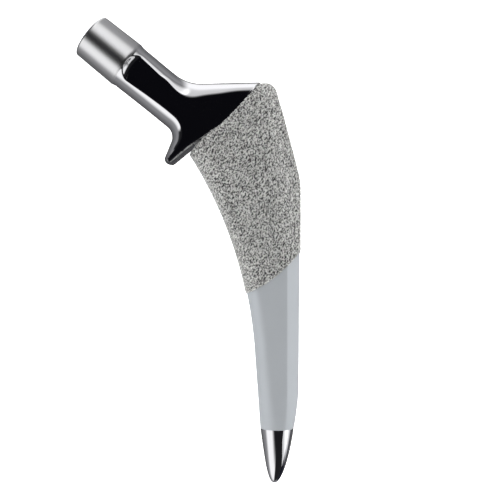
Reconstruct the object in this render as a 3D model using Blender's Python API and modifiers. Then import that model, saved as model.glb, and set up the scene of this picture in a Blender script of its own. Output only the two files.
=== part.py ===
"""Collared hip stem: turned head taper and neck, milled neck flats, collar, coated body, bullet tip.

The stem is drawn in its own plane and then laid on its back.
In the drawing x is lateral, y is proximal and z is the front; y starts at the distal tip
and x at the axis of the distal shaft.
"""
import math

import bmesh
import bpy
from mathutils import Matrix, Vector

MM = 0.001

# Overall layout
SHOULDER_HEIGHT = 115.1 * MM
NECK_AXIS_ANGLE = math.radians(38.97)
NECK_CROSSING_HEIGHT = 85.2 * MM
NECK_REACH = 69.3 * MM

# Head taper, turned
TAPER_LENGTH = 13.4 * MM
TAPER_END_DIAMETER = 13.5 * MM
TAPER_BASE_DIAMETER = 14.0 * MM
TAPER_RIM_RADIUS = 0.8 * MM
TAPER_RUNOUT = 0.9 * MM

# Neck, turned
NECK_DIAMETER = 13.4 * MM
NECK_ROUND_LENGTH = 10.5 * MM

# Flats milled on the front and back of the neck, shoulder and collar
FLAT_START = 16.4 * MM
FLAT_HALF_HEIGHT = 5.45 * MM
FLAT_RISE_ANGLE = math.radians(2.4)
FLAT_SKEW_ANGLE = math.radians(15.0)
FLAT_COVE_RADIUS = 1.7 * MM

# Shoulder
SHOULDER_FILLET = 12.0 * MM
SHOULDER_CORNER_RADIUS = 3.2 * MM
SHOULDER_EDGE_DEPTH = 12.5 * MM
SHOULDER_END_DEPTH = 6.6 * MM
SHOULDER_RISE_ANGLE = math.radians(1.2)
SHOULDER_END_SHARE = 0.88

# Collar and resection plane
COLLAR_ROOT_HEIGHT = 95.0 * MM
RESECTION_ANGLE = math.radians(38.8)
COLLAR_EDGE_ANGLE = math.radians(68.7)
COLLAR_CORNER_REACH = 11.4 * MM
COLLAR_FILLET = 3.9 * MM
COLLAR_TIP_RADIUS = 1.6 * MM
COLLAR_EDGE_DEPTH = 4.9 * MM
COLLAR_CHAMFER = 0.4 * MM
FORGED_HALF_THICKNESS = 7.4 * MM

# Stem body outline
MEDIAL_OFFSET = 5.23 * MM
MEDIAL_OFFSET_HEIGHT = 20.0 * MM
MEDIAL_TAPER = math.radians(4.12)
MEDIAL_ARC_START = 38.6 * MM
MEDIAL_ARC_RADIUS = 120.8 * MM
LATERAL_OFFSET = 6.0 * MM
LATERAL_TAPER = math.radians(0.4)
LATERAL_BEND_HEIGHT = 86.6 * MM
LATERAL_BEND_ANGLE = math.radians(15.1)
LATERAL_BEND_RADIUS = 21.0 * MM
LATERAL_RELIEF_HEIGHT = 28.0 * MM

# Stem body section
TIP_HALF_THICKNESS = 4.55 * MM
TOP_HALF_THICKNESS = 6.35 * MM
MEDIAL_EDGE_DEPTH = 4.2 * MM
RIDGE_OFFSET = 2.62 * MM
RIDGE_LEAN_HEIGHT = 63.5 * MM
RIDGE_LEAN_ANGLE = math.radians(7.2)
FACET_ANGLE = math.radians(40.0)
RIDGE_RADIUS = 0.9 * MM

# Porous coating
COATING_THICKNESS = 0.4 * MM
COATING_MEDIAL_HEIGHT = 54.6 * MM
COATING_LATERAL_HEIGHT = 66.1 * MM
COATING_EDGE_SAG = 1.4 * MM
COATING_TOP_SAG = 2.0 * MM
COATING_TOP_END = 4.6 * MM
COATING_EDGE_LENGTH = 0.35 * MM

# Bullet tip
TIP_LENGTH = 15.7 * MM
TIP_WIDTH = 9.5 * MM
TIP_APEX_SHIFT = 0.86 * MM
TIP_FULLNESS = 1.0

# Fineness of the faceted surfaces
RING_STEPS = 48
TIP_RINGS = 13
SHAFT_RINGS = 15
BODY_RINGS = 15
SHOULDER_RINGS = 12
NECK_RINGS = 40
WELD_DISTANCE = 0.01 * MM

NECK_DIRECTION = Vector((-math.cos(NECK_AXIS_ANGLE), math.sin(NECK_AXIS_ANGLE)))
NECK_NORMAL = Vector((math.sin(NECK_AXIS_ANGLE), math.cos(NECK_AXIS_ANGLE)))
NECK_CROSSING = Vector((0.0, NECK_CROSSING_HEIGHT))
TAPER_END = NECK_CROSSING + NECK_DIRECTION * NECK_REACH
RESECTION_DIRECTION = Vector((math.cos(RESECTION_ANGLE), math.sin(RESECTION_ANGLE)))


def clear_scene():
    for scene_object in list(bpy.data.objects):
        bpy.data.objects.remove(scene_object)


def new_collection(name):
    collection = bpy.data.collections.new(name)
    bpy.context.scene.collection.children.link(collection)
    return collection


def make_material(name, color, metallic, roughness):
    material = bpy.data.materials.new(name)
    material.use_nodes = True
    shader = material.node_tree.nodes["Principled BSDF"]
    shader.inputs["Base Color"].default_value = (*color, 1.0)
    shader.inputs["Metallic"].default_value = metallic
    shader.inputs["Roughness"].default_value = roughness
    return material


def lines_meet(point_a, direction_a, point_b, direction_b):
    """Point where two lines of the drawing plane cross."""
    offset = point_b - point_a
    cross = direction_a.x * direction_b.y - direction_a.y * direction_b.x
    reach = (offset.x * direction_b.y - offset.y * direction_b.x) / cross
    return point_a + direction_a * reach


def rounded_corner(before, corner, after, radius, steps):
    """Points of an arc of the given radius that rounds a corner of a path."""
    to_before = (before - corner).normalized()
    to_after = (after - corner).normalized()
    half_angle = to_before.angle(to_after) / 2
    reach = radius / math.tan(half_angle)
    reach = min(reach, 0.98 * (before - corner).length, 0.98 * (after - corner).length)
    arc_radius = reach * math.tan(half_angle)
    centre = corner + (to_before + to_after).normalized() * (arc_radius / math.sin(half_angle))
    first = corner + to_before * reach - centre
    last = corner + to_after * reach - centre
    sweep = first.angle(last)
    points = []
    for step in range(steps + 1):
        share = step / steps
        blend = (first * math.sin((1 - share) * sweep) + last * math.sin(share * sweep)) / math.sin(sweep)
        points.append(centre + blend)
    return points


def rounded_path(corners, steps=10):
    """Path through (point, radius) corners, each rounded by an arc."""
    points = [corners[0][0]]
    for index in range(1, len(corners) - 1):
        corner, radius = corners[index]
        before = points[-1]
        after = corners[index + 1][0]
        points.extend(rounded_corner(before, corner, after, radius, steps))
    points.append(corners[-1][0])
    return points


def smooth_step(share):
    share = min(1.0, max(0.0, share))
    return share * share * (3 - 2 * share)


def path_length(path):
    return sum((b - a).length for a, b in zip(path, path[1:]))


def point_along(path, share):
    """Point at a share, from 0 to 1, of a path's length."""
    left = share * path_length(path)
    for start, end in zip(path, path[1:]):
        span = (end - start).length
        if left <= span:
            return start.lerp(end, left / span) if span else start.copy()
        left -= span
    return path[-1].copy()


def skin_rings(bm, rings):
    """Join rings of equally many points with quads, and close the last ring."""
    vertex_rings = [[bm.verts.new(point) for point in ring] for ring in rings]
    count = len(rings[0])
    for lower, upper in zip(vertex_rings, vertex_rings[1:]):
        for index in range(count):
            after = (index + 1) % count
            bm.faces.new((lower[index], lower[after], upper[after], upper[index]))
    bm.faces.new(vertex_rings[-1])


def object_from_bmesh(bm, name, collection, materials):
    bmesh.ops.recalc_face_normals(bm, faces=bm.faces)
    mesh = bpy.data.meshes.new(name)
    bm.to_mesh(mesh)
    bm.free()
    for material in materials:
        mesh.materials.append(material)
    new_object = bpy.data.objects.new(name, mesh)
    collection.objects.link(new_object)
    return new_object


def medial_point(height):
    """Medial edge of the bare stem: a straight taper that runs into one long arc."""
    lean = math.tan(MEDIAL_TAPER)
    edge = -MEDIAL_OFFSET - lean * (height - MEDIAL_OFFSET_HEIGHT)
    if height <= MEDIAL_ARC_START:
        return Vector((edge, height))
    start = -MEDIAL_OFFSET - lean * (MEDIAL_ARC_START - MEDIAL_OFFSET_HEIGHT)
    centre_x = start - MEDIAL_ARC_RADIUS * math.cos(MEDIAL_TAPER)
    centre_y = MEDIAL_ARC_START - MEDIAL_ARC_RADIUS * math.sin(MEDIAL_TAPER)
    rise = height - centre_y
    return Vector((centre_x + math.sqrt(MEDIAL_ARC_RADIUS ** 2 - rise ** 2), height))


def lateral_x(height):
    """Lateral edge of the bare shaft, with its relief towards the bullet tip."""
    edge = LATERAL_OFFSET + math.tan(LATERAL_TAPER) * (height - LATERAL_RELIEF_HEIGHT)
    if height >= LATERAL_RELIEF_HEIGHT:
        return edge
    share = (LATERAL_RELIEF_HEIGHT - height) / (LATERAL_RELIEF_HEIGHT - TIP_LENGTH)
    return edge - (LATERAL_OFFSET - TIP_WIDTH / 2) * share ** 2


def half_thickness(height):
    """Half of the bare stem's thickness: both wide faces are planes that taper to the tip."""
    share = (height - TIP_LENGTH) / (COLLAR_ROOT_HEIGHT - TIP_LENGTH)
    return TIP_HALF_THICKNESS + (TOP_HALF_THICKNESS - TIP_HALF_THICKNESS) * share


def ridge_x(height):
    """Line where the front face meets the lateral facet."""
    return RIDGE_OFFSET - math.tan(RIDGE_LEAN_ANGLE) * max(0.0, height - RIDGE_LEAN_HEIGHT)


def half_section(width, thickness, ridge, facet_depth, corner_radius, end_rounding):
    """Front half of a section: rounded medial edge, flat face, ridge, facet, lateral edge."""
    edge_depth = min(MEDIAL_EDGE_DEPTH, 0.8 * ridge)
    points = []
    for step in range(9):
        angle = math.pi / 2 * step / 9
        points.append(Vector((edge_depth * (1 - math.cos(angle)), thickness * math.sin(angle))))
    face_start = Vector((edge_depth, thickness))
    ridge_corner = Vector((ridge, thickness))
    edge_corner = Vector((width, thickness - facet_depth))
    points.append(face_start)
    points.append(face_start.lerp(ridge_corner, 0.45))
    lateral = rounded_corner(face_start, ridge_corner, edge_corner, corner_radius, 4)
    lateral += rounded_corner(ridge_corner, edge_corner, Vector((width, 0.0)), corner_radius, 4)
    lateral.append(Vector((width, 0.0)))
    first = lateral[0].x
    for step, point in enumerate(lateral):
        angle = math.pi / 2 * step / (len(lateral) - 1)
        on_arc = Vector((first + (width - first) * math.sin(angle), thickness * math.cos(angle)))
        points.append(point.lerp(on_arc, end_rounding))
    return points


def stem_ring(medial, lateral, sag, coating, roundness, end_rounding=0.0):
    """One closed section of the stem between a medial and a lateral point of its outline."""
    across = lateral - medial
    direction = across.normalized()
    width = across.length
    middle = medial.lerp(lateral, 0.5)
    ridge_share = 0.6
    for _ in range(6):
        height = medial.y + ridge_share * across.y
        ridge_share = (ridge_x(height) - medial.x) / across.x
    ridge_share = min(max(ridge_share, 0.35), 0.85)
    thickness = half_thickness(middle.y)
    ridge = ridge_share * width
    facet_depth = min(math.tan(FACET_ANGLE) * (lateral.x - medial.x) * (1 - ridge_share), 0.8 * thickness)
    radius = RIDGE_RADIUS + coating
    grow = (width + 2 * coating) / width
    front = []
    for point in half_section(width, thickness, ridge, facet_depth, radius, end_rounding):
        along = point.x
        rise = point.y / thickness
        swing = math.atan2(rise, along / (width / 2) - 1)
        along += roundness * (width / 2 * (1 + math.cos(swing)) - along)
        rise += roundness * (math.sin(swing) - rise)
        share = along / width
        flat = medial + direction * (width / 2 + (along - width / 2) * grow)
        flat.y -= sag * 4 * share * (1 - share)
        front.append(Vector((flat.x, flat.y, rise * (half_thickness(flat.y) + coating))))
    back = [Vector((p.x, p.y, -p.z)) for p in front[-2:0:-1]]
    return front + back


def tip_rings():
    """Bullet tip: round sections that shrink to a nose set slightly to the medial side."""
    rings = []
    top_medial = medial_point(TIP_LENGTH)
    top_lateral = Vector((lateral_x(TIP_LENGTH), TIP_LENGTH))
    for step in range(TIP_RINGS - 1, 0, -1):
        share = 1 - (1 - step / TIP_RINGS) ** 1.8
        size = math.sqrt(1 - share ** TIP_FULLNESS)
        height = TIP_LENGTH * (1 - share)
        middle = top_medial.lerp(top_lateral, 0.5).x - TIP_APEX_SHIFT * share ** 2
        half_width = (top_lateral.x - top_medial.x) / 2 * size
        ring = stem_ring(top_medial, top_lateral, 0.0, 0.0, 1.0)
        centre = top_medial.lerp(top_lateral, 0.5)
        scale = half_width / ((top_lateral.x - top_medial.x) / 2)
        rings.append([Vector((middle + (p.x - centre.x) * scale, height, p.z * scale)) for p in ring])
    return rings


def shoulder_corner():
    """Corner where the lateral edge would meet the shoulder's top if it weren't rounded."""
    bend = Vector((lateral_x(LATERAL_BEND_HEIGHT), LATERAL_BEND_HEIGHT))
    lean = Vector((-math.sin(LATERAL_BEND_ANGLE), math.cos(LATERAL_BEND_ANGLE)))
    top = Vector((0.0, SHOULDER_HEIGHT - COATING_THICKNESS))
    return lines_meet(bend, lean, top, Vector((1.0, 0.0)))


def coated_lateral_path():
    """Lateral edge of the coated body, from the coating's lower end round the shoulder."""
    start = Vector((lateral_x(COATING_LATERAL_HEIGHT), COATING_LATERAL_HEIGHT))
    bend = Vector((lateral_x(LATERAL_BEND_HEIGHT), LATERAL_BEND_HEIGHT))
    corner = shoulder_corner()
    end = Vector((-COATING_TOP_END, SHOULDER_HEIGHT - COATING_THICKNESS))
    return rounded_path([
        (start, 0.0),
        (bend, LATERAL_BEND_RADIUS),
        (corner, SHOULDER_CORNER_RADIUS),
        (end, 0.0),
    ], steps=12)


def stem_loft(collection, materials):
    """Bullet tip, blasted shaft and coated body in one skin of sections."""
    rings = tip_rings()
    tip_count = len(rings)
    for step in range(SHAFT_RINGS):
        share = step / SHAFT_RINGS
        medial = medial_point(TIP_LENGTH + (COATING_MEDIAL_HEIGHT - TIP_LENGTH) * share)
        lateral_height = TIP_LENGTH + (COATING_LATERAL_HEIGHT - TIP_LENGTH) * share
        lateral = Vector((lateral_x(lateral_height), lateral_height))
        relief = (lateral_height - TIP_LENGTH) / (LATERAL_RELIEF_HEIGHT - TIP_LENGTH)
        roundness = max(0.0, 1.0 - relief) ** 1.5
        rings.append(stem_ring(medial, lateral, COATING_EDGE_SAG * share ** 2, 0.0, roundness))
    lower_medial = medial_point(COATING_MEDIAL_HEIGHT)
    path = coated_lateral_path()
    rings.append(stem_ring(lower_medial, path[0], COATING_EDGE_SAG, 0.0, 0.0))
    shaft_count = len(rings)
    body_share = 0.8
    shares = [body_share * step / BODY_RINGS for step in range(BODY_RINGS)]
    shares += [body_share + (1 - body_share) * step / SHOULDER_RINGS for step in range(SHOULDER_RINGS + 1)]
    shares[0] = COATING_EDGE_LENGTH / path_length(path)
    for share in shares:
        medial = medial_point(COATING_MEDIAL_HEIGHT + (COLLAR_ROOT_HEIGHT - COATING_MEDIAL_HEIGHT) * share)
        sag = COATING_EDGE_SAG + (COATING_TOP_SAG - COATING_EDGE_SAG) * share
        rounding = smooth_step((share - 0.7) / 0.22)
        lateral = point_along(path, share)
        rings.append(stem_ring(medial, lateral, sag, COATING_THICKNESS, 0.0, rounding))
    bm = bmesh.new()
    skin_rings(bm, rings)
    bm.verts.ensure_lookup_table()
    first = [bm.verts[index] for index in range(len(rings[0]))]
    apex_x = medial_point(TIP_LENGTH).lerp(Vector((lateral_x(TIP_LENGTH), TIP_LENGTH)), 0.5).x - TIP_APEX_SHIFT
    apex = bm.verts.new((apex_x, 0.0, 0.0))
    for index, vertex in enumerate(first):
        bm.faces.new((first[(index + 1) % len(first)], vertex, apex))
    count = len(rings[0])
    bm.faces.ensure_lookup_table()
    for index, face in enumerate(bm.faces):
        band = index // count
        face.material_index = 0 if band < tip_count else 1 if band < shaft_count - 1 else 2
        if len(face.verts) == 3:
            face.material_index = 0
        face.smooth = True
    return object_from_bmesh(bm, "stem_body", collection, materials)


def turned_profile():
    """Half profile of the head taper and round neck, from the end face down the outside."""
    end_radius = TAPER_END_DIAMETER / 2
    base_radius = TAPER_BASE_DIAMETER / 2
    neck_radius = NECK_DIAMETER / 2
    corner = Vector((end_radius, 0.0))
    rim = rounded_corner(Vector((0.0, 0.0)), corner, Vector((base_radius, -TAPER_LENGTH)), TAPER_RIM_RADIUS, 6)
    return [
        Vector((0.0, 0.0)),
        *rim,
        Vector((base_radius, -TAPER_LENGTH)),
        Vector((neck_radius, -TAPER_LENGTH - TAPER_RUNOUT)),
        Vector((neck_radius, -TAPER_LENGTH - NECK_ROUND_LENGTH)),
    ]


def neck_frame():
    """Places the turned profile's axis on the neck axis, half a facet round from the plane."""
    along = Vector((*NECK_DIRECTION, 0.0))
    up = Vector((*NECK_NORMAL, 0.0))
    front = along.cross(up)
    turn = Matrix((up, front, along)).transposed().to_4x4()
    place = Matrix.Translation(Vector((*TAPER_END, 0.0)))
    return place @ turn @ Matrix.Rotation(math.pi / RING_STEPS, 4, "Z")


def turned_neck(collection):
    """Head taper and round neck as a revolved profile, open at its lower end."""
    profile = turned_profile()
    mesh = bpy.data.meshes.new("neck_profile")
    points = [(point.x, 0.0, point.y) for point in profile]
    edges = [(index, index + 1) for index in range(len(points) - 1)]
    mesh.from_pydata(points, edges, [])
    turned = bpy.data.objects.new("neck_profile", mesh)
    collection.objects.link(turned)
    screw = turned.modifiers.new("turn", "SCREW")
    screw.axis = "Z"
    screw.steps = RING_STEPS
    screw.render_steps = RING_STEPS
    screw.use_merge_vertices = True
    screw.merge_threshold = WELD_DISTANCE
    turned.matrix_world = neck_frame()
    return turned


def forged_ring(lower, upper, lower_depth, upper_depth, thickness):
    """Section with two rounded edges and, where it is wide, two flat faces."""
    direction = (upper - lower).normalized()
    quarter = RING_STEPS // 4
    angles = [(step + 0.5) * math.pi / 2 / quarter for step in range(quarter)]
    front = []
    for angle in angles:
        point = lower + direction * (lower_depth * (1 - math.cos(angle)))
        front.append(Vector((point.x, point.y, thickness * math.sin(angle))))
    for angle in reversed(angles):
        point = upper - direction * (upper_depth * (1 - math.cos(angle)))
        front.append(Vector((point.x, point.y, thickness * math.sin(angle))))
    back = [Vector((p.x, p.y, -p.z)) for p in reversed(front)]
    return front + back


def neck_paths():
    """Lower and upper outlines from the round neck to the collar's underside and the shoulder."""
    radius = NECK_DIAMETER / 2
    start = TAPER_END - NECK_DIRECTION * (TAPER_LENGTH + NECK_ROUND_LENGTH)
    root = medial_point(COLLAR_ROOT_HEIGHT)
    tip_corner = root - RESECTION_DIRECTION * COLLAR_CORNER_REACH
    edge = Vector((math.cos(COLLAR_EDGE_ANGLE), math.sin(COLLAR_EDGE_ANGLE)))
    lower_start = start - NECK_NORMAL * radius
    collar_corner = lines_meet(lower_start, NECK_DIRECTION, tip_corner, edge)
    underside_start = root - RESECTION_DIRECTION * (COLLAR_CORNER_REACH * 0.5)
    lower = rounded_path([
        (lower_start, 0.0),
        (collar_corner, COLLAR_FILLET),
        (tip_corner, COLLAR_TIP_RADIUS),
        (underside_start, 0.0),
    ], steps=12)
    upper_start = start + NECK_NORMAL * radius
    top = Vector((-COATING_TOP_END - COATING_THICKNESS, SHOULDER_HEIGHT))
    rise = Vector((math.cos(SHOULDER_RISE_ANGLE), math.sin(SHOULDER_RISE_ANGLE)))
    shoulder = lines_meet(upper_start, NECK_DIRECTION, top, rise)
    under = lines_meet(root, RESECTION_DIRECTION, top, Vector((RESECTION_DIRECTION.y, -RESECTION_DIRECTION.x)))
    upper = rounded_path([
        (upper_start, 0.0),
        (shoulder, SHOULDER_FILLET),
        (top, COATING_THICKNESS),
        (under, 0.0),
    ], steps=12)
    return lower, upper


def slant(path, share, across):
    """How much longer an edge's depth is along a section that meets the outline aslant."""
    share = min(share, SHOULDER_END_SHARE)
    step = 0.01
    tangent = point_along(path, min(1.0, share + step)) - point_along(path, max(0.0, share - step))
    sine = abs(tangent.x * across.y - tangent.y * across.x) / (tangent.length * across.length)
    return 1 / max(sine, 0.5)


def forged_shoulder(collection):
    """Neck, shoulder and collar before milling: sections between the two outlines."""
    lower_path, upper_path = neck_paths()
    radius = NECK_DIAMETER / 2
    rings = []
    for step in range(NECK_RINGS + 1):
        share = step / NECK_RINGS
        lower = point_along(lower_path, share)
        upper = point_along(upper_path, share)
        width = (upper - lower).length
        ease = smooth_step((width / (2 * radius) - 1.0) / 1.2)
        lower_depth = radius + (COLLAR_EDGE_DEPTH * slant(lower_path, share, upper - lower) - radius) * ease
        edge_depth = SHOULDER_EDGE_DEPTH + (SHOULDER_END_DEPTH - SHOULDER_EDGE_DEPTH) * share
        upper_depth = radius + (edge_depth * slant(upper_path, share, upper - lower) - radius) * ease
        thickness = radius + (FORGED_HALF_THICKNESS - radius) * ease
        rings.append(forged_ring(lower, upper, lower_depth, upper_depth, thickness))
    bm = bmesh.new()
    skin_rings(bm, rings)
    return object_from_bmesh(bm, "shoulder_loft", collection, [])


def join_parts(parts, name, collection, materials):
    """One welded mesh from objects that share an open ring of points."""
    graph = bpy.context.evaluated_depsgraph_get()
    bm = bmesh.new()
    for part in parts:
        mesh = bpy.data.meshes.new_from_object(part.evaluated_get(graph))
        mesh.transform(part.matrix_world)
        bm.from_mesh(mesh)
        bpy.data.meshes.remove(mesh)
    bmesh.ops.remove_doubles(bm, verts=bm.verts, dist=WELD_DISTANCE)
    for face in bm.faces:
        face.smooth = True
    for part in parts:
        bpy.data.objects.remove(part)
    return object_from_bmesh(bm, name, collection, materials)


def milling_block(collection, name, place, cove_radius):
    """Mirrored pair of blocks whose lower faces cut at the placed x, y plane, towards -x."""
    length = NECK_REACH
    depth = FORGED_HALF_THICKNESS
    bm = bmesh.new()
    bmesh.ops.create_cube(bm, size=1.0)
    bmesh.ops.scale(bm, vec=(length, length * 1.5, depth), verts=bm.verts)
    bmesh.ops.translate(bm, vec=(cove_radius - length / 2, 0.0, depth / 2), verts=bm.verts)
    if cove_radius:
        start = cove_radius - length / 2
        cove = [e for e in bm.edges if all(v.co.x > start and v.co.z < depth / 2 for v in e.verts)]
        bmesh.ops.bevel(bm, geom=cove, offset=cove_radius, segments=8, profile=0.5, affect="EDGES")
    bmesh.ops.transform(bm, matrix=place, verts=bm.verts)
    cutter = object_from_bmesh(bm, name, collection, [])
    mirror = cutter.modifiers.new("back", "MIRROR")
    mirror.use_axis = (False, False, True)
    mirror.use_mirror_merge = False
    mirror.merge_threshold = WELD_DISTANCE
    return cutter


def placing(origin, x_axis, y_axis):
    """Matrix of a frame with the given origin and first two axes."""
    z_axis = x_axis.cross(y_axis)
    return Matrix.Translation(origin) @ Matrix((x_axis, y_axis, z_axis)).transposed().to_4x4()


def flat_height(point):
    """Height of the milled flat over a point of the drawing plane."""
    start = TAPER_END - NECK_DIRECTION * FLAT_START
    return FLAT_HALF_HEIGHT - math.tan(FLAT_RISE_ANGLE) * (point - start).dot(NECK_DIRECTION)


def flat_cutter(collection):
    """Mills the front and back flats, which start in a cove set slightly aslant."""
    start = TAPER_END - NECK_DIRECTION * FLAT_START
    along = Vector((*NECK_DIRECTION, 0.0))
    down = Vector((*-NECK_NORMAL, 0.0))
    place = placing(Vector((*start, FLAT_HALF_HEIGHT)), along, down)
    rise = Matrix.Rotation(FLAT_RISE_ANGLE, 4, "Y")
    skew = Matrix.Rotation(FLAT_SKEW_ANGLE, 4, "Z")
    return milling_block(collection, "flat_cutter", place @ rise @ skew, FLAT_COVE_RADIUS)


def chamfer_cutter(collection):
    """Breaks the edge between each flat and the underside of the collar."""
    root = medial_point(COLLAR_ROOT_HEIGHT)
    end = root - RESECTION_DIRECTION * COLLAR_CORNER_REACH
    root_edge = Vector((*root, flat_height(root)))
    end_edge = Vector((*end, flat_height(end)))
    edge = (root_edge - end_edge).normalized()
    underside = Vector((RESECTION_DIRECTION.y, -RESECTION_DIRECTION.x, 0.0))
    outward = (underside + Vector((0.0, 0.0, 1.0))).normalized()
    origin = root_edge - outward * (COLLAR_CHAMFER / math.sqrt(2))
    across = edge.cross(outward).normalized()
    place = placing(origin + across * NECK_REACH / 2, across, outward.cross(across))
    return milling_block(collection, "chamfer_cutter", place, 0.0)


def add_boolean(target, tool, operation):
    """Live Boolean on the target; the tool is kept out of renders."""
    modifier = target.modifiers.new(tool.name, "BOOLEAN")
    modifier.operation = operation
    modifier.solver = "EXACT"
    modifier.object = tool
    tool.hide_render = True
    tool.display_type = "WIRE"


def lay_on_back(objects, main):
    """Turns the tapered back face level and sets the box's bottom centre at the origin."""
    fall = (TOP_HALF_THICKNESS - TIP_HALF_THICKNESS) / (COLLAR_ROOT_HEIGHT - TIP_LENGTH)
    turn = Matrix.Rotation(math.atan(fall), 4, "X")
    for placed in objects:
        placed.matrix_world = turn @ placed.matrix_world
    bpy.context.view_layer.update()
    evaluated = main.evaluated_get(bpy.context.evaluated_depsgraph_get())
    corners = [evaluated.matrix_world @ vertex.co for vertex in evaluated.data.vertices]
    low = [min(c[axis] for c in corners) for axis in range(3)]
    high = [max(c[axis] for c in corners) for axis in range(3)]
    shift = Matrix.Translation((-(low[0] + high[0]) / 2, -(low[1] + high[1]) / 2, -low[2]))
    for placed in objects:
        placed.matrix_world = shift @ placed.matrix_world


def build():
    clear_scene()
    parts = new_collection("hip_implant_stem")
    tools = new_collection("tools")
    polished = make_material("polished_metal", (0.62, 0.62, 0.63), 1.0, 0.06)
    blasted = make_material("blasted_metal", (0.52, 0.54, 0.55), 1.0, 0.45)
    porous = make_material("porous_coating", (0.44, 0.44, 0.43), 0.9, 0.6)
    materials = [polished, blasted, porous]
    stem = join_parts([turned_neck(tools), forged_shoulder(tools)], "hip_stem", parts, materials)
    flats = flat_cutter(tools)
    chamfer = chamfer_cutter(tools)
    body = stem_loft(tools, materials)
    add_boolean(stem, flats, "DIFFERENCE")
    add_boolean(stem, chamfer, "DIFFERENCE")
    add_boolean(stem, body, "UNION")
    lay_on_back([stem, flats, chamfer, body], stem)


build()
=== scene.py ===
# Looks of the collared hip stem: mirror-polished neck, porous coat, blasted shaft and bullet tip.
import math

import bmesh
import bpy
from mathutils import Euler, Matrix, Vector, kdtree, noise


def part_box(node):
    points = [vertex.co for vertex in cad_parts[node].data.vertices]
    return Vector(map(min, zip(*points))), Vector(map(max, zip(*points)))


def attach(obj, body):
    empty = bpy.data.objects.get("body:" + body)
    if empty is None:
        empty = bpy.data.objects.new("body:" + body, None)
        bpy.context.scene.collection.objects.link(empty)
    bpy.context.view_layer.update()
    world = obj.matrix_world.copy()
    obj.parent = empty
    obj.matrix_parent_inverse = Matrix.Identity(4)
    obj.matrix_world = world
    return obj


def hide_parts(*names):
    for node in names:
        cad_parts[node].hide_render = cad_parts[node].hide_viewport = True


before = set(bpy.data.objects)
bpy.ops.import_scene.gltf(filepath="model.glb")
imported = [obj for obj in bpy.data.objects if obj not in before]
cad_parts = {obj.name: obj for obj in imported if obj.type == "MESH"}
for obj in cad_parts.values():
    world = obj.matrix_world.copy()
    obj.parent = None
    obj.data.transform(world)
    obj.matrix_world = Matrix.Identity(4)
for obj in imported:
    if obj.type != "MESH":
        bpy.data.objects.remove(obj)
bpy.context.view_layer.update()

mm = 0.001
print("frame loaded")


# The stem is drawn flat, in millimetres: x lateral, y towards the shoulder, z towards the viewer.
# Its tip is at y = 0 and the shaft's axis at x = 0. The drawing is then laid on its back.
outline = {
    "medialOffset": 5.23,        # half width on the medial side, at medialHeight
    "medialHeight": 20.0,
    "medialTaper": 4.12,
    "medialArcStart": 38.6,      # above this the medial edge is one long arc
    "medialArcRadius": 120.8,
    "lateralOffset": 6.0,
    "lateralTaper": 0.4,
    "lateralRelief": 28.0,       # below this the lateral edge closes in on the tip
    "bendHeight": 86.6,
    "bendAngle": 15.1,
    "bendRadius": 21.0,
    "tipLength": 15.7,
    "tipWidth": 9.5,
    "tipShift": 0.75,            # the point leans towards the medial side
    "tipHalfThickness": 4.55,
    "topHalfThickness": 6.35,
    "rootHeight": 95.0,          # where the collar's underside meets the medial edge
    "shoulderHeight": 115.1,
    "coatTopEnd": 4.6,
    "lateralReach": 6.692,       # the coat's widest point
    "planeHeight": 4.592,        # of the drawing plane over the floor, at the tip
}
neckLine = {"angle": 38.97, "crossing": 85.2, "reach": 69.3}

cadLow, cadHigh = (Vector(corner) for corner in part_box("hip_stem"))
thickening = outline["topHalfThickness"] - outline["tipHalfThickness"]
restAngle = math.atan(thickening / (outline["rootHeight"] - outline["tipLength"]))
drawingZero = Vector((cadHigh.x - outline["lateralReach"] * mm, cadLow.y, cadLow.z + outline["planeHeight"] * mm))
drawingPlace = Matrix.Translation(drawingZero) @ Matrix.Rotation(restAngle, 4, "X")


def unit(degrees):
    turn = math.radians(degrees)
    return Vector((math.cos(turn), math.sin(turn)))


neckDir = unit(180 - neckLine["angle"])
neckUp = Vector((neckDir.y, -neckDir.x))
taperEnd = Vector((0.0, neckLine["crossing"])) + neckDir * neckLine["reach"]


# Small drawing tools

def linesMeet(pointA, dirA, pointB, dirB):
    gap = pointB - pointA
    return pointA + dirA * ((gap.x * dirB.y - gap.y * dirB.x) / (dirA.x * dirB.y - dirA.y * dirB.x))


def roundCorner(before, corner, after, radius, steps):
    toBefore = (before - corner).normalized()
    toAfter = (after - corner).normalized()
    half = toBefore.angle(toAfter) / 2
    longest = 0.98 * min((before - corner).length, (after - corner).length)    # keeps off the next corner
    reach = min(radius / math.tan(half), longest)
    centre = corner + (toBefore + toAfter).normalized() * (reach / math.cos(half))
    first = corner + toBefore * reach - centre
    last = corner + toAfter * reach - centre
    sweep = first.angle(last)
    points = []
    for step in range(steps + 1):
        share = step / steps
        blend = first * math.sin((1 - share) * sweep) + last * math.sin(share * sweep)
        points.append(centre + blend / math.sin(sweep))
    return points


def roundedPath(corners, steps=48):
    points = [corners[0][0]]
    for index in range(1, len(corners) - 1):
        corner, radius = corners[index]
        points += roundCorner(points[-1], corner, corners[index + 1][0], radius, steps)
    return points + [corners[-1][0]]


def pathLength(path):
    return sum((b - a).length for a, b in zip(path, path[1:]))


def alongPath(path, share):
    left = share * pathLength(path)
    for start, end in zip(path, path[1:]):
        span = (end - start).length
        if left <= span:
            return start.lerp(end, left / span) if span else start.copy()
        left -= span
    return path[-1].copy()


def easeIn(share):
    share = min(1.0, max(0.0, share))
    return share * share * (3 - 2 * share)


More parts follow.
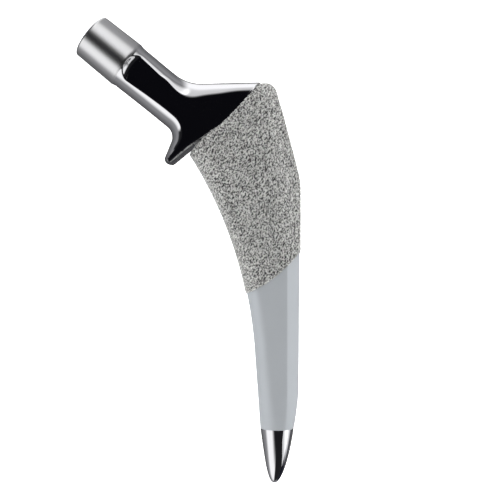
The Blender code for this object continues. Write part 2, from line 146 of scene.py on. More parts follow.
def between(share, stops):
    # value at a share of the way through (share, value) stops, on one smooth curve through them all
    index = 0
    while index < len(stops) - 2 and share > stops[index + 1][0]:
        index += 1
    (start, low), (end, high) = stops[index:index + 2]
    before = stops[max(index - 1, 0)]
    after = stops[min(index + 2, len(stops) - 1)]
    slopeIn = (high - before[1]) / (end - before[0]) * (end - start)
    slopeOut = (after[1] - low) / (after[0] - start) * (end - start)
    t = (share - start) / (end - start)
    return (low * (1 + 2 * t) * (1 - t) ** 2 + high * (3 - 2 * t) * t ** 2
            + slopeIn * t * (1 - t) ** 2 - slopeOut * t ** 2 * (1 - t))


def evenly(points, count):
    # the same line in evenly spaced points
    reach = [0.0]
    for a, b in zip(points, points[1:]):
        reach.append(reach[-1] + (b - a).length)
    even = []
    index = 0
    for step in range(count):
        wanted = reach[-1] * step / (count - 1)
        while index < len(points) - 2 and reach[index + 1] < wanted:
            index += 1
        gap = reach[index + 1] - reach[index]
        even.append(points[index].lerp(points[index + 1], (wanted - reach[index]) / gap if gap else 0.0))
    return even


def closeRing(front):
    # the back of every section mirrors its front
    return front + [Vector((p.x, p.y, -p.z)) for p in front[-2:0:-1]]


# Modelling by extruding one ring of points from station to station

def onlySelect(piece):
    bpy.ops.object.select_all(action="DESELECT")
    piece.select_set(True)
    bpy.context.view_layer.objects.active = piece


def extrudeThrough(name, stations):
    bpy.ops.object.select_all(action="DESELECT")
    bpy.ops.mesh.primitive_circle_add(vertices=len(stations[0]), radius=5 * mm, fill_type="NGON")
    piece = bpy.context.object
    piece.name = name
    piece.data.name = name
    bpy.ops.object.mode_set(mode="EDIT")
    mesh = bmesh.from_edit_mesh(piece.data)
    ring = [vertex.index for vertex in mesh.verts]
    for number, station in enumerate(stations):
        if number:
            bpy.ops.mesh.extrude_region_move()
            mesh = bmesh.from_edit_mesh(piece.data)
            mesh.verts.ensure_lookup_table()
            mesh.verts.index_update()
            ring = [
                next(edge.other_vert(mesh.verts[index]).index for edge in mesh.verts[index].link_edges
                     if edge.other_vert(mesh.verts[index]).select)
                for index in ring
            ]
        mesh.verts.ensure_lookup_table()
        for index, point in zip(ring, station):
            mesh.verts[index].co = Vector(point) * mm
    bmesh.update_edit_mesh(piece.data)
    bpy.ops.mesh.select_all(action="SELECT")
    bpy.ops.mesh.normals_make_consistent(inside=False)
    bpy.ops.object.mode_set(mode="OBJECT")
    return piece


def finishPiece(piece, materials, smoothAngle):
    onlySelect(piece)
    piece.matrix_world = drawingPlace
    bpy.ops.object.transform_apply(location=True, rotation=True, scale=True)
    bpy.ops.object.shade_smooth_by_angle(angle=math.radians(smoothAngle))
    piece.data.materials.clear()
    for material in materials:
        piece.data.materials.append(material)
    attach(piece, "root")
    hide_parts("hip_stem")
    print(piece.name, len(piece.data.polygons), "faces")


def useModifier(piece, kind, **settings):
    onlySelect(piece)
    modifier = piece.modifiers.new(kind.lower(), kind)
    for key, value in settings.items():
        setattr(modifier, key, value)
    bpy.ops.object.modifier_apply(modifier=modifier.name)


# Materials

def hexColor(code):
    channels = [int(code[place:place + 2], 16) / 255 for place in (0, 2, 4)]
    linear = [c / 12.92 if c <= 0.04045 else ((c + 0.055) / 1.055) ** 2.4 for c in channels]
    return (*linear, 1.0)


def addNode(tree, kind, settings=None, links=None):
    node = tree.nodes.new(kind)
    for key, value in (settings or {}).items():
        if isinstance(key, int) or key in node.inputs:
            node.inputs[key].default_value = value
        else:
            setattr(node, key, value)
    for socket, source in (links or {}).items():
        tree.links.new(source, node.inputs[socket])
    return node


def newMetal(name, colour, roughness):
    material = bpy.data.materials.new(name)
    material.use_nodes = True
    shader = material.node_tree.nodes["Principled BSDF"]
    shader.inputs["Base Color"].default_value = hexColor(colour)
    shader.inputs["Metallic"].default_value = 1.0
    shader.inputs["Roughness"].default_value = roughness
    return material, material.node_tree, shader


def mirrorPolish():
    # Titanium alloy, buffed to a mirror: faint cloudy wipe marks in the gloss.
    material, tree, shader = newMetal("buffed_titanium", "BEBEC0", 0.05)
    place = addNode(tree, "ShaderNodeTexCoord")
    wipes = addNode(tree, "ShaderNodeTexNoise", {"Scale": 1 / (4 * mm), "Detail": 3.0},
                    {"Vector": place.outputs["Object"]})
    gloss = addNode(tree, "ShaderNodeMapRange", {"To Min": 0.03, "To Max": 0.08},
                    {"Value": wipes.outputs["Fac"]})
    tree.links.new(gloss.outputs["Result"], shader.inputs["Roughness"])
    return material


def turnedMetal():
    # The head taper is fine-turned and only lightly polished, so its highlights are softer.
    # Its grooves are drawn coarser than real ones, which are too fine to show.
    material, tree, shader = newMetal("turned_titanium", "BCBCBD", 0.3)
    grooveSpacing = 0.6927 * mm
    wavePeriod = math.pi / 10    # a wave texture of scale 1 repeats after this
    place = addNode(tree, "ShaderNodeTexCoord")
    turn = Vector((1.0, 0.0)).angle_signed(neckDir)
    axis = addNode(tree, "ShaderNodeMapping", {"Rotation": (0.0, 0.0, turn)},
                   {"Vector": place.outputs["Object"]})
    bands = {"wave_type": "BANDS", "bands_direction": "X", "Scale": wavePeriod / grooveSpacing, "Distortion": 0.4}
    grooves = addNode(tree, "ShaderNodeTexWave", bands, {"Vector": axis.outputs["Vector"]})
    bump = addNode(tree, "ShaderNodeBump", {"Strength": 0.08, "Distance": 0.01 * mm},
                   {"Height": grooves.outputs["Fac"]})
    tree.links.new(bump.outputs["Normal"], shader.inputs["Normal"])
    return material


def blastedMetal():
    # Grit-blasted titanium: an even satin grey with a fine grain.
    material, tree, shader = newMetal("blasted_titanium", "A7ABAF", 0.6)
    shader.inputs["Metallic"].default_value = 0.45
    place = addNode(tree, "ShaderNodeTexCoord")
    grain = addNode(tree, "ShaderNodeTexNoise", {"Scale": 1 / (0.35 * mm), "Detail": 4.0},
                    {"Vector": place.outputs["Object"]})
    bump = addNode(tree, "ShaderNodeBump", {"Strength": 0.25, "Distance": 0.02 * mm},
                   {"Height": grain.outputs["Fac"]})
    tree.links.new(bump.outputs["Normal"], shader.inputs["Normal"])
    return material


def porousMetal():
    # Plasma-sprayed titanium in worm-like ridges about a millimetre apart. Its colour is painted from the ridge
    # height: painted shade dark in the pores and a painted highlight pale on the ridges.
    material, tree, shader = newMetal("sprayed_titanium", "A8A8A6", 0.6)
    shader.inputs["Metallic"].default_value = 0.45
    depth = addNode(tree, "ShaderNodeAttribute", {"attribute_name": "ridge"})
    # painted shade and painted highlight: the colour runs from dark in the pores to pale on the ridges
    paintedShadeRamp = addNode(tree, "ShaderNodeValToRGB", None, {"Fac": depth.outputs["Fac"]})
    paintedShadeRamp.color_ramp.elements[0].color = hexColor("2E2E2E")
    paintedShadeRamp.color_ramp.elements[1].color = hexColor("D0D0CD")
    tree.links.new(paintedShadeRamp.outputs["Color"], shader.inputs["Base Color"])
    place = addNode(tree, "ShaderNodeTexCoord")
    grain = addNode(tree, "ShaderNodeTexNoise", {"Scale": 1 / (0.4 * mm), "Detail": 3.0},
                    {"Vector": place.outputs["Object"]})
    bump = addNode(tree, "ShaderNodeBump", {"Strength": 0.5, "Distance": 0.08 * mm},
                   {"Height": grain.outputs["Fac"]})
    tree.links.new(bump.outputs["Normal"], shader.inputs["Normal"])
    return material


polished = mirrorPolish()
turned = turnedMetal()
blasted = blastedMetal()
porous = porousMetal()
print("materials made")


# Stem sections, shared by the shaft and the coat

section = {
    "points": 64,                # round each section
    "medialPoints": 11,          # on the medial edge's rounding
    "cornerSteps": 5,
    "largestShare": 0.8,         # of the side they sit on, for the medial rounding and the facet
    "medialDepth": 4.2,          # how far the medial edge's rounding reaches in
    "ridgeOffset": 2.62,
    "ridgeLeanHeight": 63.5,
    "ridgeLean": 7.2,
    "ridgeShares": (0.35, 0.85),    # of the width, between which the ridge stays
    "facetAngle": 40.0,
    "ridgeRadius": 0.9,
    "endDepth": 6.0,             # how far in the shoulder end of the coat is rounded
}


def medialPoint(height):
    lean = math.tan(math.radians(outline["medialTaper"]))
    if height <= outline["medialArcStart"]:
        return Vector((-outline["medialOffset"] - lean * (height - outline["medialHeight"]), height))
    start = -outline["medialOffset"] - lean * (outline["medialArcStart"] - outline["medialHeight"])
    radius = outline["medialArcRadius"]
    centreX = start - radius * math.cos(math.radians(outline["medialTaper"]))
    centreY = outline["medialArcStart"] - radius * math.sin(math.radians(outline["medialTaper"]))
    return Vector((centreX + math.sqrt(radius ** 2 - (height - centreY) ** 2), height))


def lateralX(height):
    relief = outline["lateralRelief"]
    edge = outline["lateralOffset"] + math.tan(math.radians(outline["lateralTaper"])) * (height - relief)
    if height >= relief:
        return edge
    share = (relief - height) / (relief - outline["tipLength"])
    return edge - (outline["lateralOffset"] - outline["tipWidth"] / 2) * share ** 2


def halfThickness(height):
    share = (height - outline["tipLength"]) / (outline["rootHeight"] - outline["tipLength"])
    return outline["tipHalfThickness"] + thickening * share


def ridgeX(height):
    lean = math.tan(math.radians(section["ridgeLean"]))
    return section["ridgeOffset"] - lean * max(0.0, height - section["ridgeLeanHeight"])


def halfSection(width, thickness, ridge, facetDepth, radius, endRounding):
    depth = min(section["medialDepth"], section["largestShare"] * ridge)
    points = []
    for step in range(section["medialPoints"]):
        turn = math.pi / 2 * step / section["medialPoints"]
        points.append(Vector((depth * (1 - math.cos(turn)), thickness * math.sin(turn))))
    faceStart = Vector((depth, thickness))
    ridgeCorner = Vector((ridge, thickness))
    edgeCorner = Vector((width, thickness - facetDepth))
    lateral = roundCorner(faceStart, ridgeCorner, edgeCorner, radius, section["cornerSteps"])
    facet = [lateral[-1].lerp(edgeCorner, share) for share in (0.25, 0.5)]
    widest = Vector((width, 0.0))
    lateral += facet + roundCorner(facet[-1], edgeCorner, widest, radius, section["cornerSteps"]) + [widest]
    spare = section["points"] // 2 + 1 - len(points) - len(lateral)
    points += [faceStart.lerp(lateral[0], step / spare) for step in range(spare)]
    first = lateral[0].x
    for step, point in enumerate(lateral):
        turn = math.pi / 2 * step / (len(lateral) - 1)
        onArc = Vector((first + (width - first) * math.sin(turn), thickness * math.cos(turn)))
        points.append(point.lerp(onArc, endRounding))
    return points


def stemFront(medial, lateral, sag, coat, roundness, endRounding=0.0):
    across = lateral - medial
    width = across.length
    ridgeShare = 0.6             # a first guess, which six rounds make exact on a slanted section
    for _ in range(6):
        ridgeShare = (ridgeX(medial.y + ridgeShare * across.y) - medial.x) / across.x
    leastShare, mostShare = section["ridgeShares"]
    ridgeShare = min(max(ridgeShare, leastShare), mostShare)
    ridgeShare += (1 - section["endDepth"] / width - ridgeShare) * endRounding
    thickness = halfThickness((medial.y + lateral.y) / 2)
    facetDepth = math.tan(math.radians(section["facetAngle"])) * across.x * (1 - ridgeShare)
    facetDepth = min(facetDepth, section["largestShare"] * thickness)
    grow = (width + 2 * coat) / width
    radius = section["ridgeRadius"] + max(0.0, coat)
    front = []
    for point in halfSection(width, thickness, ridgeShare * width, facetDepth, radius, endRounding):
        rise = point.y / thickness
        swing = math.atan2(rise, 2 * point.x / width - 1)
        along = point.x + roundness * (width / 2 * (1 + math.cos(swing)) - point.x)
        rise += roundness * (math.sin(swing) - rise)
        share = along / width
        flat = medial + across.normalized() * (width / 2 + (along - width / 2) * grow)
        flat.y -= sag * 4 * share * (1 - share)
        front.append(Vector((flat.x, flat.y, rise * (halfThickness(flat.y) + coat))))
    return front


# Bullet tip, buffed

bulletTip = {
    "stations": 28,
    "crowding": 1.8,             # stations lie closer together towards the point
    "bluntness": 0.455,
    "lastStation": 0.995,        # just short of the point, which its own face closes
}

topMedial = medialPoint(outline["tipLength"])
topLateral = Vector((lateralX(outline["tipLength"]), outline["tipLength"]))
tipTop = closeRing(stemFront(topMedial, topLateral, 0.0, 0.0, 1.0))
tipMiddle = topMedial.lerp(topLateral, 0.5)
tipStations = []
for step in range(bulletTip["stations"] + 1):
    stepShare = min(step / bulletTip["stations"], bulletTip["lastStation"])
    share = 1 - (1 - stepShare) ** bulletTip["crowding"]
    size = (1 - share) ** bulletTip["bluntness"]
    centreX = tipMiddle.x - outline["tipShift"] * share ** 2
    height = outline["tipLength"] * (1 - share)
    tipStations.append([(centreX + (p.x - tipMiddle.x) * size, height, p.z * size) for p in tipTop])
tip = extrudeThrough("bullet_tip", tipStations)
finishPiece(tip, [polished], smoothAngle=30)


# Blasted shaft

coat = {
    "thickness": 0.4,
    "medialHeight": 54.6,        # lower edge of the coat, on each side
    "lateralHeight": 66.1,
    "edgeSag": 1.4,
    "topSag": 1.5,
    "rootLift": 0.8,             # the upper edge rises a little beside the collar
    "rootLiftFade": 12,          # and the rise is gone soon below it
    "tuck": 0.8,                 # how far the top reaches under the shoulder
    "cornerRadius": 3.2,
    "roundFrom": 0.7,            # the shoulder end is rounded from here up, as a share of the height
    "roundOver": 0.22,
    "lowerEdge": [(0.0, -0.3), (0.0, 0.1), (0.002, 0.3)],    # share of the height, how proud
    "firstStation": 0.008,
    "crowding": 0.1,
    "stations": 66,
    "frontPoints": 43,
    "poreWidth": 0.37,           # size of the noise that makes ridges about a millimetre apart
    "poreDepth": 0.28,
    "poreLevel": 0.75,           # where the coat's own face lies between pore and ridge
    "poreContrast": 1.1,
    "fineShare": 0.35,           # of a second, finer noise
    "fineness": 1.9,
}
shaft = {
    "stations": 26,
    "underCoat": 1.5,            # how far it reaches up inside the coat
    "roundFade": 1.5,            # the tip's round section fades into the faceted one
}

medialTop = coat["medialHeight"] + shaft["underCoat"]
lateralTop = coat["lateralHeight"] + shaft["underCoat"]
shaftStations = []
for step in range(shaft["stations"] + 1):
    share = step / shaft["stations"]
    medial = medialPoint(outline["tipLength"] + (medialTop - outline["tipLength"]) * share)
    height = outline["tipLength"] + (lateralTop - outline["tipLength"]) * share
    relief = (height - outline["tipLength"]) / (outline["lateralRelief"] - outline["tipLength"])
    roundness = max(0.0, 1.0 - relief) ** shaft["roundFade"]
    lateral = Vector((lateralX(height), height))
    shaftStations.append(closeRing(stemFront(medial, lateral, coat["edgeSag"] * share ** 2, 0.0, roundness)))
shaftPiece = extrudeThrough("blasted_shaft", shaftStations)
finishPiece(shaftPiece, [blasted], smoothAngle=20)


# Porous coat

def coatedLateralPath():
    top = outline["shoulderHeight"] - coat["thickness"]
    start = Vector((lateralX(coat["lateralHeight"]), coat["lateralHeight"]))
    bend = Vector((lateralX(outline["bendHeight"]), outline["bendHeight"]))
    lean = unit(90 + outline["bendAngle"])
    corner = linesMeet(bend, lean, Vector((0.0, top)), Vector((1.0, 0.0)))
    end = Vector((-outline["coatTopEnd"] - coat["tuck"], top))
    return roundedPath([(start, 0), (bend, outline["bendRadius"]), (corner, coat["cornerRadius"]), (end, 0)])


def rootHump(across):
    # 1 beside the collar's root, and 0 at both edges
    return 15 * across * (1 - across) ** 5


def coatStation(path, share, thickness):
    medial = medialPoint(coat["medialHeight"] + (outline["rootHeight"] - coat["medialHeight"]) * share)
    sag = coat["edgeSag"] + (coat["topSag"] - coat["edgeSag"]) * share
    lateral = alongPath(path, share)
    endRounding = easeIn((share - coat["roundFrom"]) / coat["roundOver"])
    front = stemFront(medial, lateral, sag, thickness, 0.0, endRounding)
    for point in front:
        across = min(1.0, max(0.0, (point.x - medial.x) / (lateral.x - medial.x)))
        point.y += coat["rootLift"] * share ** coat["rootLiftFade"] * rootHump(across)
    return closeRing(evenly(front, coat["frontPoints"]))


lateralPath = coatedLateralPath()
coatStations = [coatStation(lateralPath, share, proud) for share, proud in coat["lowerEdge"]]
for step in range(coat["stations"]):
    share = step / (coat["stations"] - 1)
    share += coat["crowding"] * math.sin(math.pi * share) ** 2
    share = coat["firstStation"] + (1 - coat["firstStation"]) * share
    coatStations.append(coatStation(lateralPath, min(share, 1.0), coat["thickness"]))
coatPiece = extrudeThrough("porous_coat", coatStations)
useModifier(coatPiece, "SUBSURF", levels=2, render_levels=2)
poreTurn = Euler((0.6, 0.7, 0.3)).to_matrix()    # keeps the noise's own grid off the stem's flat sides


def poreHeight(point):
    # a labyrinth of ridges: 0 in a pore, 1 on a ridge
    spot = poreTurn @ point / (coat["poreWidth"] * mm)
    value = noise.noise(spot) + coat["fineShare"] * noise.noise(spot * coat["fineness"])
    return easeIn(0.5 + coat["poreContrast"] * value)


# the ridge height is kept on the coat for its painted shade in the pores and painted highlight on the ridges
ridge = coatPiece.data.attributes.new("ridge", "FLOAT", "POINT")
lift = coat["poreDepth"] * mm
moved = []
for vertex in coatPiece.data.vertices:
    height = poreHeight(vertex.co)
    ridge.data[vertex.index].value = height
    moved.append(vertex.co + vertex.normal * lift * (height - coat["poreLevel"]))
for vertex, place in zip(coatPiece.data.vertices, moved):
    vertex.co = place
finishPiece(coatPiece, [porous], smoothAngle=180)


# Head taper, neck, shoulder and collar in one forging

neck = {
    "edgePoints": 38,            # on each rounded edge, between silhouette and flat
    "flatPoints": 56,
    "edgeSamples": 1200,         # of the outline, to measure distances from
    "roundEdge": 0.28,           # where the flat's edge would lie on the round neck, as a share of its front
    "taperLength": 13.2,
    "taperEnd": 13.5,            # diameters
    "taperBase": 14.0,
    "diameter": 13.4,
    "waist": 13.15,
    "rimRadius": 0.8,
    "runout": 1.5,               # from the taper's base down to the neck's own diameter
    "turnedTo": 14.1,            # the turned finish ends here, at the cove
    "roundLength": 10.7,
    "shoulderFillet": 12.0,
    "shoulderRise": 1.2,
    "collarEdgeAngle": 67.5,
    "collarReach": 11.8,
    "collarFillet": 3.9,
    "collarTipRadius": 1.5,
    "roundStations": 44,
    "forgedStations": 210,
    "crowding": 0.08,            # stations lie closer together round the collar
    "frontSteps": 240,
    # how far in the edges are rounded, by share of the way from the round neck to the end
    "upperDepth": [
        (0.0, 6.575), (0.1, 6.2), (0.27, 8.4), (0.4, 6.75), (0.555, 5.35), (0.76, 3.6), (1.0, 2.8),
    ],
    "lowerDepth": [
        (0.0, 6.575), (0.2, 6.4), (0.36, 5.6), (0.44, 4.5), (0.5, 3.5), (0.6, 4.0), (0.68, 2.2), (0.74, 0.35),
        (1.0, 0.35),
    ],
    "endSag": 1.3,               # the end is bowed like the coat's edge, and reaches under the coat
    "undersideAngle": 40.3,
    "undersideLift": 0.7,
    "sink": 0.9,                 # how far the closing face lies inside the coat
    "sinkNarrowing": 0.05,
    "sinkThinning": 0.06,
    "rootSink": 2.0,             # and how far the underside runs on into it
}
flats = {
    "start": 16.4,               # from the taper's end to where the cove runs out
    "height": 5.27,
    "rise": 2.0,
    "skew": 4.0,
    "cutterRadius": 10.0,        # of the cove's wall, seen from the front
    "coveRadius": 2.5,
    "upperRounding": 0.32,       # how far buffing has rounded the edges over
    "lowerRounding": 0.22,
    "roundingSpan": 4.0,         # across the neck, over which the one passes into the other
    "chamfer": 0.66,             # along the collar's lower edge
    "chamferFade": 1.0,          # the chamfer runs out from here, along the underside
    "chamferFadeSlope": 0.13,
    "chamferSlope": 1.15,
}
flatStart = taperEnd - neckDir * flats["start"]
wallTurn = math.radians(flats["skew"])
wallDir = neckDir * math.cos(wallTurn) - neckUp * math.sin(wallTurn)
undersideDir = unit(neck["undersideAngle"])
undersideUp = Vector((-undersideDir.y, undersideDir.x))
collarRoot = medialPoint(outline["rootHeight"]) + undersideUp * neck["undersideLift"]


def flatHeight(spot):
    # of the milled face over a point of the drawing
    fromStart = max((flatStart - spot).dot(neckDir), 0.0)
    return flats["height"] + math.tan(math.radians(flats["rise"])) * fromStart


def milledHeight(spot):
    # the same, with the cove that the cutter leaves at the taper's end
    fromCentre = spot - flatStart + wallDir * flats["cutterRadius"]
    intoCove = fromCentre.length - flats["cutterRadius"] if fromCentre.dot(wallDir) > 0 else 0.0
    radius = flats["coveRadius"]
    if intoCove >= radius:
        return 99.0              # nothing is cut here
    return flatHeight(spot) + radius - math.sqrt(radius ** 2 - max(intoCove, 0.0) ** 2)


def chamferHeight(spot):
    fromRoot = spot - collarRoot
    overCoat = max(0.0, fromRoot.dot(undersideDir) + flats["chamferFade"]) * flats["chamferFadeSlope"]
    fromUnderside = flats["chamferSlope"] * fromRoot.dot(undersideUp)
    return milledHeight(spot) - flats["chamfer"] + fromUnderside + overCoat


def softLower(a, b, rounding):
    # lower of two heights, with the edge between them rounded over
    overlap = max(rounding - abs(a - b), 0.0) / rounding
    return min(a, b) - overlap ** 2 * rounding / 4


def mill(point):
    spot = point.xy
    across = (spot - flatStart).dot(neckUp)
    rounding = flats["lowerRounding"]
    rounding += (flats["upperRounding"] - rounding) * easeIn(across / flats["roundingSpan"])
    height = softLower(point.z, milledHeight(spot), rounding) if point.z else 0.0
    return Vector((point.x, point.y, min(height, chamferHeight(spot))))


def addEdge(path, depths):
    # an edge of the outline in close points, with how deep the rounding reaches in from each
    points = evenly(path, neck["edgeSamples"])
    tree = kdtree.KDTree(len(points))
    for index, point in enumerate(points):
        tree.insert((*point, 0.0), index)
    tree.balance()
    return tree, points, [between(index / (len(points) - 1), depths) for index in range(len(points))]


def edgeRise(edge, spot):
    # 0 on the edge, 1 where its rounding ends, like a quarter of an ellipse
    tree, points, depths = edge
    index = tree.find((*spot, 0.0))[1]
    distance = (spot - points[index]).length
    for other in (index - 1, index + 1):
        if 0 <= other < len(points):
            side = points[other] - points[index]
            share = min(1.0, max(0.0, (spot - points[index]).dot(side) / side.length_squared))
            distance = min(distance, (spot - points[index] - side * share).length)
    return math.sqrt(1 - max(0.0, 1 - distance / depths[index]) ** 2)


def forgedFront(lower, upper):
    # front half of a section, from the lower edge to the upper one
    front = []
    for step in range(neck["frontSteps"] + 1):
        spot = lower.lerp(upper, (1 - math.cos(math.pi * step / neck["frontSteps"])) / 2)
        rise = min(edgeRise(lowerEdge, spot), edgeRise(upperEdge, spot))
        if step in (0, neck["frontSteps"]):
            rise = 0.0
        front.append(Vector((*spot, neck["waist"] / 2 * rise)))
    return front


def roundFront(centre, radius):
    front = []
    for step in range(neck["frontSteps"] + 1):
        turn = math.pi * step / neck["frontSteps"]
        front.append(Vector((*(centre - neckUp * radius * math.cos(turn)), radius * math.sin(turn))))
    front[0].z = front[-1].z = 0.0
    return front


def crossing(points):
    # index and place where a line first climbs over the milled face, or would on a thicker neck
    for index, (a, b) in enumerate(zip(points, points[1:])):
        below = flatHeight(a.xy) - a.z
        above = b.z - flatHeight(b.xy)
        if above > 0:
            return index + 1, a.lerp(b, below / (below + above))
    index = round(neck["roundEdge"] * len(points))
    return index, (points[index - 1] + points[index]) / 2


def milledRing(front):
    # points are dealt out so that the same rows run along both edges of the flat
    first, lowerPoint = crossing(front)
    last, upperPoint = crossing(front[::-1])
    last = len(front) - last
    middle = evenly([lowerPoint] + front[first:last] + [upperPoint], neck["flatPoints"])
    lowerSide = evenly(front[:first] + [lowerPoint], neck["edgePoints"])
    upperSide = evenly([upperPoint] + front[last:], neck["edgePoints"])
    return closeRing([mill(point) for point in lowerSide[:-1] + middle + upperSide[1:]])


def roundStation(distance, radius):
    return milledRing(roundFront(taperEnd - neckDir * distance, radius))


def neckPaths():
    radius = neck["waist"] / 2
    start = taperEnd - neckDir * (neck["taperLength"] + neck["roundLength"])
    tipCorner = collarRoot - undersideDir * neck["collarReach"]
    lowerStart = start - neckUp * radius
    collarCorner = linesMeet(lowerStart, neckDir, tipCorner, unit(neck["collarEdgeAngle"]))
    lower = roundedPath([
        (lowerStart, 0),
        (collarCorner, neck["collarFillet"]),
        (tipCorner, neck["collarTipRadius"]),
        (collarRoot + undersideDir * neck["rootSink"], 0),
    ])
    upperStart = start + neckUp * radius
    top = Vector((-outline["coatTopEnd"] - coat["thickness"], outline["shoulderHeight"]))
    shoulder = linesMeet(upperStart, neckDir, top, unit(neck["shoulderRise"]))
    return lower, roundedPath([(upperStart, 0), (shoulder, neck["shoulderFillet"]), (top, 0)])


def turnedProfile():
    # (distance, radius) along the taper and the round neck
    endRadius = neck["taperEnd"] / 2
    baseRadius = neck["taperBase"] / 2
    neckRadius = neck["diameter"] / 2
    base = Vector((baseRadius, neck["taperLength"]))
    rim = roundCorner(Vector((0, 0)), Vector((endRadius, 0)), base, neck["rimRadius"], 8)
    profile = [Vector((endRadius * share, 0)) for share in (0.4, 0.8)] + rim
    profile += [rim[-1].lerp(base, share) for share in (0.03, 0.25, 0.5, 0.75, 0.9, 0.97, 1.0)]
    for share in (0.15, 0.3, 0.45, 0.6, 0.75, 0.9):
        radius = baseRadius + (neckRadius - baseRadius) * easeIn(share)
        profile.append(Vector((radius, neck["taperLength"] + neck["runout"] * share)))
    start = Vector((neckRadius, neck["taperLength"] + neck["runout"]))
    end = Vector((neck["waist"] / 2, neck["taperLength"] + neck["roundLength"]))
    return profile + [start.lerp(end, step / neck["roundStations"]) for step in range(neck["roundStations"])]


neckStations = [roundStation(place.y, place.x) for place in turnedProfile()]
lowerPath, upperPath = neckPaths()
lowerEdge = addEdge(lowerPath, neck["lowerDepth"])
upperEdge = addEdge(upperPath, neck["upperDepth"])
for step in range(neck["forgedStations"] + 1):
    share = step / neck["forgedStations"]
    share = min(1.0, share + neck["crowding"] * math.sin(2 * math.pi * share))
    lower = alongPath(lowerPath, share)
    upper = alongPath(upperPath, share)
    front = forgedFront(lower, upper)
    bow = 4 * neck["endSag"] * easeIn(2 * share - 1)
    for point in front:
        part = (point.xy - lower).dot(upper - lower) / (upper - lower).length_squared
        point.y -= bow * part * (1 - part)
    neckStations.append(milledRing(front))
middle = (upper + lower) / 2
for share in (0.5, 1.0):
    under = []
    for point in front:
        spot = point.xy + (middle - point.xy) * neck["sinkNarrowing"] * share
        spot -= undersideUp * neck["sink"] * share
        under.append(Vector((*spot, point.z * (1 - neck["sinkThinning"] * share))))
    neckStations.append(milledRing(under))
neckPiece = extrudeThrough("neck_and_collar", neckStations)
finishPiece(neckPiece, [polished, turned], smoothAngle=32)

# Finish by face: the taper stays turned, the rest is buffed.
toDrawing = drawingPlace.inverted()
for face in neckPiece.data.polygons:
    spot = (toDrawing @ face.center) / mm
    fromEnd = (taperEnd - Vector((spot.x, spot.y))).dot(neckDir)
    face.material_index = 1 if fromEnd < neck["turnedTo"] else 0
print("stem modelled")


# Studio: pale floor that is lit like a light table, a dome that the metal mirrors, and one softbox

studio = {
    "cameraDistance": 300.0,
    "pixel": 0.288,              # millimetres in the drawing plane to one pixel of the photo
    "pictureHeight": 500,
    "middleX": 248.5 - 277.5,    # of the picture, in pixels from the drawing's zero point
    "middleY": 482.5 - 250.0,
}
# The dome is grey round the horizon and black round the camera: share of the way up, and grey.
horizon = [
    (0.0, 0.08), (0.05, 0.12), (0.135, 0.21), (0.26, 0.31), (0.37, 0.43), (0.465, 0.47),
    (0.53, 0.28), (0.56, 0.14), (0.6, 0.03), (0.965, 0.02), (0.98, 0.005),
]
# Soft white panels hang in front of it. A panel spans angles in degrees: around in the drawing plane from
# the lateral side, and off the camera's axis. It has faded out at the first and last of the four angles.
# A negative glow takes light away, as a black card does.
panels = [
    {"name": "left", "around": (172, 184, 250, 264), "off": (31, 47, 74, 96), "glow": 1.75},
    {"name": "right", "around": (36, 48, 80, 92), "off": (5, 24, 64, 91), "glow": 1.42},
    {"name": "top", "around": (66, 82, 104, 120), "off": (16, 42, 126, 150), "glow": 1.1},
    {"name": "back", "around": (66, 82, 104, 120), "off": (55, 110, 122, 146), "glow": 0.35},
    {"name": "low", "around": (-34, -24, 2, 16), "off": (48, 63, 86, 112), "glow": 1.6},
    {"name": "black card", "around": (-70, -56, -24, -10), "off": (80, 90, 112, 126), "glow": -0.4},
]
# The only light near enough to shine from its own side: it stands low at the right.
sideSoftbox = {"place": (250, -118, 137), "wide": 100, "tall": 190, "glow": 1.15}
target = Vector((studio["middleX"], studio["middleY"], 0)) * studio["pixel"] * mm


def addCamera():
    camera = bpy.data.cameras.new("photo_camera")
    camera.sensor_fit = "VERTICAL"
    half = studio["pictureHeight"] / 2 * studio["pixel"] / studio["cameraDistance"]
    camera.angle_y = 2 * math.atan(half)
    camera.clip_start = 1 * mm
    camera.clip_end = 20         # metres, past the floor's far rim
    holder = bpy.data.objects.new("photo_camera", camera)
    bpy.context.scene.collection.objects.link(holder)
    holder.matrix_world = drawingPlace @ Matrix.Translation(
        target + Vector((0, 0, studio["cameraDistance"] * mm)))
    bpy.context.scene.camera = holder


def addWindow(tree, source, stops):
    # 1 between the inner two of four angles, falling smoothly to 0 at the outer two
    sides = []
    for low, high in ((stops[0], stops[1]), (stops[3], stops[2])):
        slope = {"interpolation_type": "SMOOTHSTEP", "From Min": math.radians(low), "From Max": math.radians(high)}
        side = addNode(tree, "ShaderNodeMapRange", slope, {"Value": source})
        sides.append(side.outputs["Result"])
    window = addNode(tree, "ShaderNodeMath", {"operation": "MULTIPLY"}, {0: sides[0], 1: sides[1]})
    return window.outputs["Value"]


def addPanel(tree, direction, offAxis, panel):
    middle = (panel["around"][0] + panel["around"][3]) / 2
    facing = addNode(tree, "ShaderNodeMapping", {"Rotation": (0.0, 0.0, -math.radians(middle))},
                     {"Vector": direction})
    parts = addNode(tree, "ShaderNodeSeparateXYZ", None, {"Vector": facing.outputs["Vector"]})
    around = addNode(tree, "ShaderNodeMath", {"operation": "ARCTAN2"},
                     {0: parts.outputs["Y"], 1: parts.outputs["X"]})
    wide = addWindow(tree, around.outputs["Value"], [angle - middle for angle in panel["around"]])
    deep = addWindow(tree, offAxis, panel["off"])
    shape = addNode(tree, "ShaderNodeMath", {"operation": "MULTIPLY"}, {0: wide, 1: deep})
    glow = {"operation": "MULTIPLY", 1: panel["glow"]}
    return addNode(tree, "ShaderNodeMath", glow, {0: shape.outputs["Value"]})


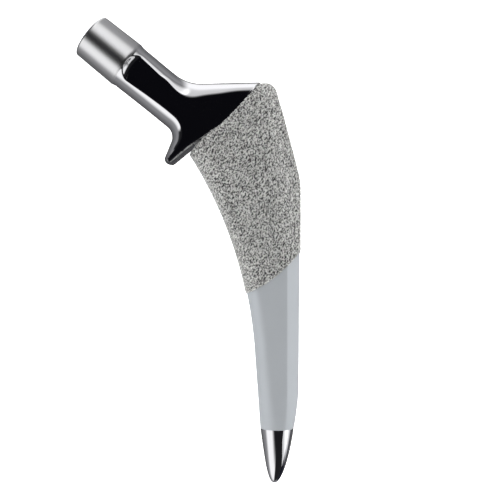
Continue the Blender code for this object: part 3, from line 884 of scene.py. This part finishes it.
def addSideSoftbox():
    lamp = bpy.data.lights.new("side_softbox", "AREA")
    lamp.shape = "RECTANGLE"
    lamp.size = sideSoftbox["wide"] * mm
    lamp.size_y = sideSoftbox["tall"] * mm
    lamp.energy = sideSoftbox["glow"] * math.pi * lamp.size * lamp.size_y
    holder = bpy.data.objects.new("side_softbox", lamp)
    bpy.context.scene.collection.objects.link(holder)
    place = Vector(sideSoftbox["place"]) * mm
    facing = (place - Vector((*taperEnd, 0)) * mm).to_track_quat("Z", "Y")
    holder.matrix_world = drawingPlace @ Matrix.Translation(place) @ facing.to_matrix().to_4x4()


def addDome():
    world = bpy.data.worlds.new("studio_dome")
    bpy.context.scene.world = world
    world.use_nodes = True
    tree = world.node_tree
    direction = addNode(tree, "ShaderNodeTexCoord").outputs["Generated"]
    height = addNode(tree, "ShaderNodeSeparateXYZ", None, {"Vector": direction}).outputs["Z"]
    offAxis = addNode(tree, "ShaderNodeMath", {"operation": "ARCCOSINE"}, {0: height}).outputs["Value"]
    share = addNode(tree, "ShaderNodeMapRange", {"From Min": -1.0}, {"Value": height})
    ramp = addNode(tree, "ShaderNodeValToRGB", None, {"Fac": share.outputs["Result"]})
    while len(ramp.color_ramp.elements) < len(horizon):
        ramp.color_ramp.elements.new(0.5)
    for element, (place, grey) in zip(ramp.color_ramp.elements, horizon):
        element.position = place
        element.color = (grey, grey, grey * 1.03 + 0.002, 1)    # a trace of blue, as in the photo
    total = ramp.outputs["Color"]
    for panel in panels:
        light = addPanel(tree, direction, offAxis, panel)
        total = addNode(tree, "ShaderNodeMixRGB", {"blend_type": "ADD", "Fac": 1.0},
                        {"Color1": total, "Color2": light.outputs["Value"]}).outputs["Color"]
    tree.links.new(total, tree.nodes["Background"].inputs["Color"])


dish = {
    "points": 96,
    "radius": 1.2,
    "rim": ((0.02, 1.08), (0.08, 1.06), (0.2, 1.05), (0.4, 1.03), (0.8, 1.01)),    # rise, and how it widens
}


def addFloor():
    # its far edge turns up into a rim, so that it has no horizon
    bpy.ops.object.select_all(action="DESELECT")
    bpy.ops.mesh.primitive_circle_add(
        vertices=dish["points"], radius=dish["radius"], fill_type="NGON", location=(0, 0, 0))
    floor = bpy.context.object
    floor.name = "pale_floor"
    bpy.ops.object.mode_set(mode="EDIT")
    for rise, grow in dish["rim"]:
        bpy.ops.mesh.extrude_region_move(TRANSFORM_OT_translate={"value": (0, 0, rise)})
        bpy.ops.transform.resize(value=(grow, grow, 1))
    bpy.ops.mesh.delete(type="ONLY_FACE")
    bpy.ops.object.mode_set(mode="OBJECT")
    bpy.ops.object.shade_smooth()
    material = bpy.data.materials.new("light_table")
    material.use_nodes = True
    shader = material.node_tree.nodes["Principled BSDF"]
    shader.inputs["Base Color"].default_value = hexColor("F2F2F2")
    shader.inputs["Roughness"].default_value = 0.9
    shader.inputs["Emission Color"].default_value = hexColor("FFFFFF")
    shader.inputs["Emission Strength"].default_value = 1.0
    floor.data.materials.append(material)
    floor.visible_glossy = False


addCamera()
addDome()
addSideSoftbox()
addFloor()
bpy.context.scene.view_settings.view_transform = "Standard"
print("studio ready")
